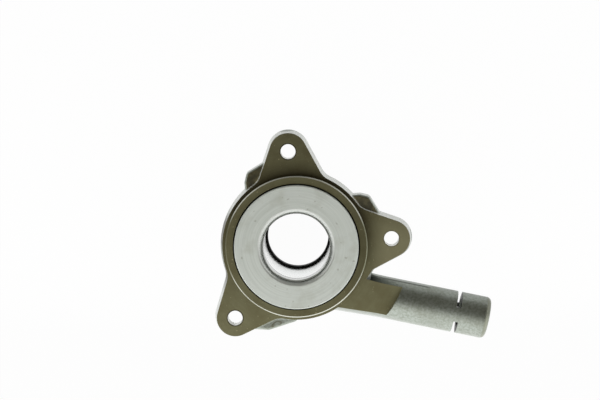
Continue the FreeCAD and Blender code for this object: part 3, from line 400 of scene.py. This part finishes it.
        made = self.blend(self.step(rings, 0.2, 0.8), tone(115, 113, 86), tone(126, 124, 96))
        for amount, over in (
            (self.mul(self.step(stain, 0.4, 0.65), 0.6), tone(100, 94, 67)),
            (self.mul(grit, 0.5), tone(214, 204, 164)),
            # Painted shadow round the ring's foot.
            (self.mul(self.ring_shadow, 0.75), tone(46, 38, 22)),
            (self.mul(self.hole_rim_dark, 0.7), tone(38, 36, 26)),
            (self.mul(shade, 0.4), tone(66, 62, 42)),
            (self.mul(right_ear_light, 0.42), tone(166, 162, 132)),
            (self.rim, rim_highlight),
            # Painted shade in the gap inside the ring.
            (self.groove, tone(14, 14, 12)),
        ):
            made = self.blend(amount, made, over)
        return made

    def finish(self):
        """The tones, the shine and the fine relief of both kinds of surface."""
        mottle = self.noise(420.0, 5.0, 0.62)
        rings = self.turning(0.22 * MM)
        self.set("Base Color", self.blend(self.cut, self.raw_tone(), self.cut_tone(rings)))
        self.set("Metallic", self.add(0.95, self.mul(self.wall, -0.5)))
        rough_raw = self.add(0.34, self.mul(mottle, 0.12))
        rough_cut = self.add(0.42, self.mul(rings, 0.06))
        rough = self.add(self.mul(rough_raw, self.raw), self.mul(rough_cut, self.cut))
        self.set("Roughness", rough)
        height = self.add(self.mul(mottle, self.raw), self.mul(rings, self.mul(self.cut, 0.05)))
        sharp, soft = self.rounded(0.18 * MM), self.rounded(0.9 * MM)
        edges = self.blend(self.worn, sharp, soft, "VECTOR")
        self.set("Normal", self.bump(height, 0.5, 0.10 * MM, edges))


# The other materials
def turned_steel():
    """Matte turned steel with faint rings and small marks, and a bright rolled lip, painted
    lighter on its upper half.
    """
    t = Skin("turned_steel")
    x, y, z = t.split(t.place)
    slant = t.step(t.split(t.normal)[2], 0.999, 0.99)
    lip = t.mul(slant, t.under(t.far(x, y), 17.0 * MM))
    # Painted light: the lip's upper half is lighter and less metallic.
    lit = t.mul(lip, t.step(y, -6 * MM, 4 * MM))
    rings = t.turning(0.30 * MM)
    broad = t.turning(1.6 * MM)
    smudge = t.noise(130.0, 4.0, 0.6)
    marks = t.step(t.noise(560.0, 1.0, 0.4), 0.73, 0.78)
    base = t.blend(t.step(rings, 0.2, 0.8), tone(180, 186, 180), tone(205, 210, 205))
    for amount, over in (
        (t.mul(t.step(broad, 0.5, 0.75), 0.35), tone(172, 178, 170)),
        (t.mul(t.step(smudge, 0.52, 0.74), 0.5), tone(166, 169, 158)),
        (t.mul(marks, 0.45), tone(112, 108, 92)),
        (lip, tone(184, 188, 184)),
        (lit, tone(202, 206, 202)),
    ):
        base = t.blend(amount, base, over)
    t.set("Base Color", base)
    t.set("Metallic", t.add(t.add(0.2, t.mul(lip, 0.3)), t.mul(lit, -0.45)))
    t.set("Roughness", t.add(t.add(0.5, t.mul(rings, 0.1)), t.mul(lip, -0.25)))
    t.set("Normal", t.bump(rings, 0.25, 0.04 * MM, t.rounded(0.10 * MM)))
    return t.material


def bore_steel():
    """The bright drawn guide sleeve, darker deeper down as painted shade, with a dull mouth and a
    painted shade line below it.
    """
    t = Skin("sleeve_steel")
    z = t.split(t.place)[2]
    rings = t.turning(0.30 * MM)
    cloud = t.noise(240.0, 4.0, 0.6)
    mouth = t.blend(t.step(cloud, 0.4, 0.65), tone(166, 170, 166), tone(186, 189, 185))
    base = t.blend(t.step(rings, 0.25, 0.75), tone(236, 239, 237), tone(243, 245, 244))
    # Painted shade deeper in the bore.
    base = t.blend(t.step(z, -14 * MM, -33 * MM), base, tone(204, 208, 205))
    base = t.blend(t.step(z, -2.4 * MM, -2.1 * MM), base, mouth)
    # A painted shade line below the mouth.
    base = t.blend(t.band(z, -4.2 * MM, -2.6 * MM, 0.2 * MM), base, tone(60, 62, 57))
    t.set("Base Color", base)
    t.set("Metallic", 0.95)
    t.set("Roughness", t.add(0.14, t.mul(cloud, 0.06)))
    t.set("Normal", t.rounded(0.10 * MM))
    return t.material


def plain_steel(name, low, high, rough):
    """A turned or drawn metal whose tone wanders a little."""
    t = Skin(name)
    rings = t.turning(0.30 * MM)
    cloud = t.noise(240.0, 4.0, 0.6)
    base = t.blend(t.step(rings, 0.25, 0.75), low, high)
    base = t.blend(t.mul(t.step(cloud, 0.5, 0.75), 0.3), base, low)
    t.set("Base Color", base)
    t.set("Metallic", 0.9)
    t.set("Roughness", t.add(rough, t.mul(cloud, 0.12)))
    t.set("Normal", t.bump(rings, 0.2, 0.03 * MM, t.rounded(0.10 * MM)))
    return t.material


def rubber(name):
    """Black moulded rubber with a dusty bloom."""
    t = Skin(name)
    bloom = t.noise(300.0, 4.0, 0.6)
    grain = t.noise(2400.0, 2.0, 0.5)
    t.set("Base Color", t.blend(t.step(bloom, 0.4, 0.7), tone(13, 14, 12), tone(28, 28, 26)))
    t.set("Roughness", t.add(0.5, t.mul(bloom, 0.2)))
    t.set("Normal", t.bump(grain, 0.2, 0.05 * MM, t.rounded(0.10 * MM)))
    return t.material


def plastic(name, low, high):
    """Moulded plastic with a fine grain."""
    t = Skin(name)
    grain = t.noise(1600.0, 3.0, 0.6)
    cloud = t.noise(160.0, 3.0, 0.5)
    t.set("Base Color", t.blend(t.step(cloud, 0.35, 0.7), low, high))
    t.set("Roughness", t.add(0.42, t.mul(grain, 0.15)))
    t.set("Normal", t.bump(grain, 0.15, 0.05 * MM, t.rounded(0.10 * MM)))
    return t.material


MATERIALS = {
    "cast_aluminium": Casting().material,
    "turned_steel": turned_steel(),
    "sleeve_steel": bore_steel(),
    "spring_steel": plain_steel("spring_steel", tone(74, 76, 80), tone(104, 106, 110), 0.3),
    "bearing_steel": plain_steel("bearing_steel", tone(150, 153, 156), tone(182, 184, 187), 0.24),
    "ball_steel": plain_steel("ball_steel", tone(205, 207, 210), tone(220, 222, 224), 0.08),
    "plated_steel": plain_steel("plated_steel", tone(150, 150, 138), tone(178, 177, 162), 0.32),
    "black_rubber": rubber("black_rubber"),
    "black_plastic": plastic("black_plastic", tone(30, 30, 32), tone(44, 44, 46)),
    "pale_plastic": plastic("pale_plastic", tone(206, 196, 166), tone(222, 214, 188)),
}
for part in frame["record"]["subparts"]:
    data = nodes[part["node"]].data
    data.materials.clear()
    data.materials.append(MATERIALS[part["material_slot"]])


# Pieces
def to_mesh(work, name):
    """The finished mesh of a bmesh, its faces turned outward."""
    bmesh.ops.recalc_face_normals(work, faces=work.faces)
    mesh = bpy.data.meshes.new(name)
    work.to_mesh(mesh)
    work.free()
    return mesh


def finish_piece(name, mesh, slot):
    piece = bpy.data.objects.new(name, mesh)
    bpy.context.scene.collection.objects.link(piece)
    mesh.materials.append(MATERIALS[slot])
    for polygon in mesh.polygons:
        polygon.use_smooth = True
    return piece


def turned_mesh(name, outline, steps):
    """A closed ring about Z from its half section, given as radius and height."""
    work = bmesh.new()
    rings = []
    for i in range(steps):
        angle = 2 * math.pi * i / steps
        c, s = math.cos(angle), math.sin(angle)
        rings.append([work.verts.new((r * c, r * s, z)) for r, z in outline])
    for i in range(steps):
        one, two = rings[i], rings[(i + 1) % steps]
        for j in range(len(outline)):
            k = (j + 1) % len(outline)
            work.faces.new((one[j], two[j], two[k], one[k]))
    return to_mesh(work, name)


def coil_spring():
    """The preload spring as one smooth tube of round wire, cut square at its ends."""
    low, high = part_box("preload_spring")
    wire, radius = 1.1 * MM, 25.15 * MM
    turns, around = 4.5, 14
    bottom, top = low.z + wire, high.z - wire
    lean = math.atan2((top - bottom) / turns, 2 * math.pi * radius)
    count = int(turns * COIL_STEPS)
    work = bmesh.new()
    rings = []
    for i in range(count + 1):
        share = i / count
        angle = 2 * math.pi * turns * share
        out = Vector((math.cos(angle), math.sin(angle), 0))
        flat = Vector((-math.sin(angle), math.cos(angle), 0))
        up = Vector((0, 0, math.cos(lean))) - flat * math.sin(lean)
        middle = out * radius + Vector((0, 0, bottom + (top - bottom) * share))
        rings.append([
            work.verts.new(middle + (out * math.cos(a) + up * math.sin(a)) * wire)
            for a in (2 * math.pi * k / around for k in range(around))
        ])
    for one, two in zip(rings, rings[1:]):
        for k in range(around):
            n = (k + 1) % around
            work.faces.new((one[k], one[n], two[n], two[k]))
    work.faces.new(rings[0][::-1])
    work.faces.new(rings[-1])
    piece = finish_piece("spring_coil", to_mesh(work, "spring_coil"), "spring_steel")
    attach(piece, "housing_body")
    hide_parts("preload_spring")
    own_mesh(piece)


def bellows():
    """The dust boot, its three folds rounded as moulded rubber. Sizes are in millimetres."""
    crest, valley, wall = 29.0, 27.42, 0.8
    start, end = -20.4, -42.0
    folds, steps = 3, 96
    outer = []
    for i in range(steps + 1):
        z = start + (end - start) * i / steps
        wave = math.cos(2 * math.pi * folds * i / steps)
        r = 0.5 * (crest + valley) + 0.5 * (crest - valley) * wave
        outer.append((r, z))
    # The bead under the clamp, the folds, the grip on the spring plate, and the inside.
    outline = [(27.45, -17.0), (29.0, -16.98), (29.05, -17.1), (29.05, -18.6)]
    outline += outer
    outline += [(28.15, -42.2), (28.2, -44.3), (28.0, -44.6), (27.3, -44.6), (27.25, -42.0)]
    outline += [(r - wall, z) for r, z in outer[::-1]]
    outline += [(28.25, -18.65), (27.45, -18.6)]
    mesh = turned_mesh("boot_bellows", [(r * MM, z * MM) for r, z in outline], BOOT_STEPS)
    piece = finish_piece("boot_bellows", mesh, "black_rubber")
    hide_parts("dust_boot")
    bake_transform(piece)


coil_spring()
bellows()


# Stage, light and camera
def seen_rays(t):
    """1 for the rays that show the background, to the eye or in a reflection."""
    path = t.node("LightPath")
    shown = t.top(path.outputs["Is Camera Ray"], path.outputs["Is Glossy Ray"])
    return t.top(shown, path.outputs["Is Transmission Ray"])


def floor():
    """The white floor under the part, most of which looks lit by itself."""
    bpy.ops.mesh.primitive_plane_add(size=6.0, location=(0, 0, cad_box[0][2]))
    plane = bpy.context.object
    plane.name = "floor"
    t = Skin("floor_white")
    t.set("Base Color", (0.9, 0.9, 0.9, 1.0))
    t.set("Roughness", 0.9)
    t.set("Specular IOR Level", 0.0)
    glow = t.node("Emission")
    mix = t.node("MixShader")
    t.join(t.mul(seen_rays(t), FLOOR_GLOW), mix.inputs[0])
    t.join(t.shader.outputs[0], mix.inputs[1])
    t.join(glow.outputs[0], mix.inputs[2])
    t.join(mix.outputs[0], t.tree.nodes["Material Output"].inputs["Surface"])
    plane.data.materials.append(t.material)


def world():
    """Bright to both sides and toward -Y, dimmer toward +Y, and dark behind the camera."""
    made = bpy.data.worlds.new("studio")
    bpy.context.scene.world = made
    t = Tree(made)
    back = t.tree.nodes["Background"]
    x, y, z = t.split(t.node("TexCoord").outputs["Generated"])
    lean = t.math("ARCTAN2", y, z)
    plus = t.step(lean, math.radians(50), math.radians(95), soft=True)
    minus = t.step(lean, math.radians(-12), math.radians(-60), soft=True)
    middle = t.add(0.12, t.add(t.mul(plus, 0.30), t.mul(minus, 0.90)))
    out = t.size(x)
    side = t.step(out, 0.50, 0.75, soft=True)
    fall = t.step(out, 0.82, 0.97, soft=True)
    boxes = t.add(SIDE_LIGHT, t.mul(fall, SIDE_FALL - SIDE_LIGHT))
    level = t.add(t.mul(middle, t.rest(side)), t.mul(side, boxes))
    camera_ray = t.node("LightPath").outputs["Is Camera Ray"]
    white = t.top(t.top(t.top(plus, minus), side), camera_ray)
    t.feed(back.inputs["Strength"], t.add(t.mul(level, t.rest(camera_ray)), camera_ray))
    t.feed(back.inputs["Color"], t.blend(white, (1.0, 0.93, 0.74, 1.0), (1, 1, 1, 1)))


def card(name, place, facing, wide, high, radiance):
    """An evenly bright card, unseen by the camera, given by its middle and its facing."""
    data = bpy.data.lights.new(name, "AREA")
    data.shape = "RECTANGLE"
    data.size = wide
    data.size_y = high
    data.energy = radiance * math.pi * wide * high
    made = bpy.data.objects.new(name, data)
    bpy.context.scene.collection.objects.link(made)
    made.location = place
    made.rotation_euler = Vector(facing).to_track_quat("-Z", "Y").to_euler()
    made.visible_camera = False


def camera():
    """The photo's camera, fitted to the part's holes and rims."""
    place = Vector((18.20, 115.47, 901.30)) * MM
    right = Vector((0.999828, 0.000398, -0.018551))
    up = Vector((-0.002345, 0.994460, -0.105092))
    back = Vector((0.018406, 0.105117, 0.994290))
    # The focal length and the picture's width, both in pixels.
    focal, across = 2096.8, 600
    data = bpy.data.cameras.new("camera")
    data.sensor_width = 36.0
    data.lens = focal / across * data.sensor_width
    made = bpy.data.objects.new("camera", data)
    bpy.context.scene.collection.objects.link(made)
    turn = Matrix((right, up, back)).transposed().to_4x4()
    made.matrix_world = Matrix.Translation(place) @ turn
    bpy.context.scene.camera = made


floor()
world()
# The lit table that the part stood on in the photo, beside it and in front of it.
card("table", (0.02, -0.047, 0.03), (0, 1, 0), 0.60, 0.14, 0.9)
card("table_front", (0.02, -0.047, 0.20), (0, 1, 0), 0.60, 0.20, 0.5)
camera()
bpy.context.scene.view_settings.view_transform = "Standard"
